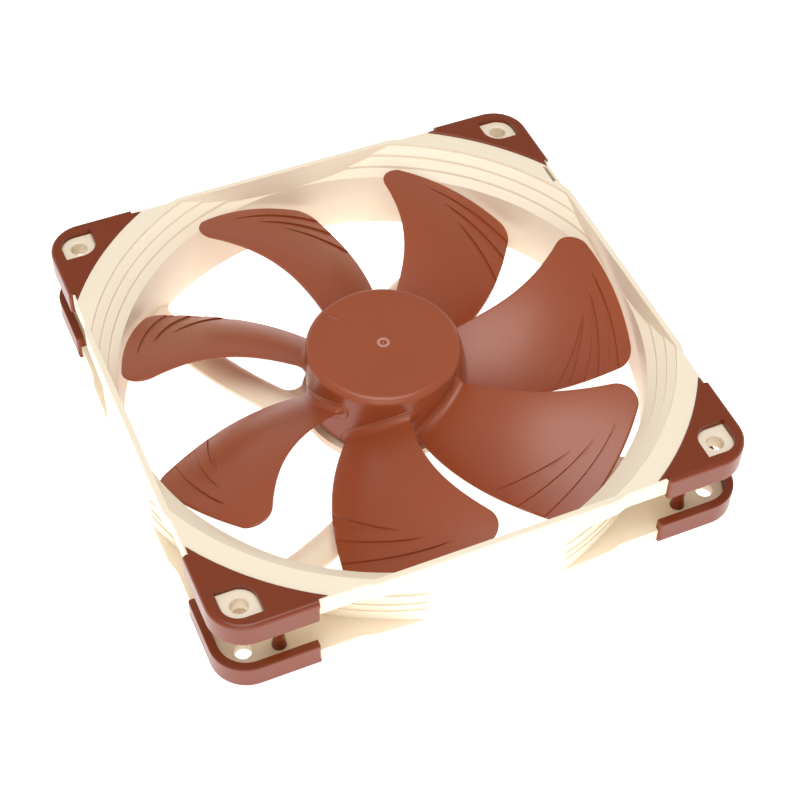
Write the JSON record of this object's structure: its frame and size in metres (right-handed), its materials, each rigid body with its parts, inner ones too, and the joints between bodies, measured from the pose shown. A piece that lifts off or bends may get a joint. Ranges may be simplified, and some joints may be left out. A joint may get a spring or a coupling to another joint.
{
  "type": "case fan",
  "caption": "Square axial case fan: a framed duct with soft corner pads, curved struts, and a swept-blade impeller on a sleeve-bearing motor.",
  "frame": {"origin": "on the rotor axis, at the plane of the exhaust side's pad faces", "axes": "+Z along the rotor axis towards the intake side; +X and +Y along the square's sides, with -Y as the front"},
  "size_m": [0.14, 0.14, 0.025],
  "materials": {
    "frame_plastic": "satin moulded plastic, warm cream",
    "rotor_plastic": "satin moulded plastic, reddish brown",
    "pad_rubber": "soft moulded silicone, dark reddish brown",
    "yoke_steel": "drawn steel",
    "shaft_steel": "ground and polished steel",
    "magnet": "bonded magnet, dark grey",
    "brass": "turned",
    "bronze": "sintered, oil filled",
    "clip_plastic": "natural wear-resistant plastic",
    "lamination": "stacked electrical steel",
    "bobbin_plastic": "moulded, black",
    "copper_wire": "enamelled copper wire",
    "board": "glass-fibre board with solder mask",
    "pin_tin": "tinned",
    "chip_plastic": "moulded package",
    "ceramic": "ceramic body",
    "label_paper": "blank coated label"
  },
  "bodies": {
    "frame": {"housing": "frame_plastic", "exhaust_pad_front_left": "pad_rubber", "exhaust_pad_front_right": "pad_rubber", "exhaust_pad_back_left": "pad_rubber", "exhaust_pad_back_right": "pad_rubber", "intake_pad_front_left": "pad_rubber", "intake_pad_front_right": "pad_rubber", "intake_pad_back_left": "pad_rubber", "intake_pad_back_right": "pad_rubber", "bearing_tube": "brass", "stabiliser_magnet": "magnet", "thrust_plate": "clip_plastic", "bearing_sleeve": "bronze", "oil_seal": "clip_plastic", "stator_core": "lamination", "upper_insulator": "bobbin_plastic", "lower_insulator": "bobbin_plastic", "coil_1": "copper_wire", "coil_2": "copper_wire", "coil_3": "copper_wire", "coil_4": "copper_wire", "circuit_board": "board", "winding_pins": "pin_tin", "hall_sensor": "chip_plastic", "driver_chip": "chip_plastic", "capacitor": "ceramic", "base_label": "label_paper"},
    "rotor": {"impeller": "rotor_plastic", "rotor_yoke": "yoke_steel", "ring_magnet": "magnet", "shaft": "shaft_steel", "shaft_bush": "brass", "retaining_clip": "clip_plastic"}
  },
  "joints": [
    {"name": "rotor_spin", "type": "hinge", "parent": "frame", "child": "rotor", "pos_m": [0, 0, 0.0125], "axis": [0, 0, 1], "continuous": true}
  ]
}
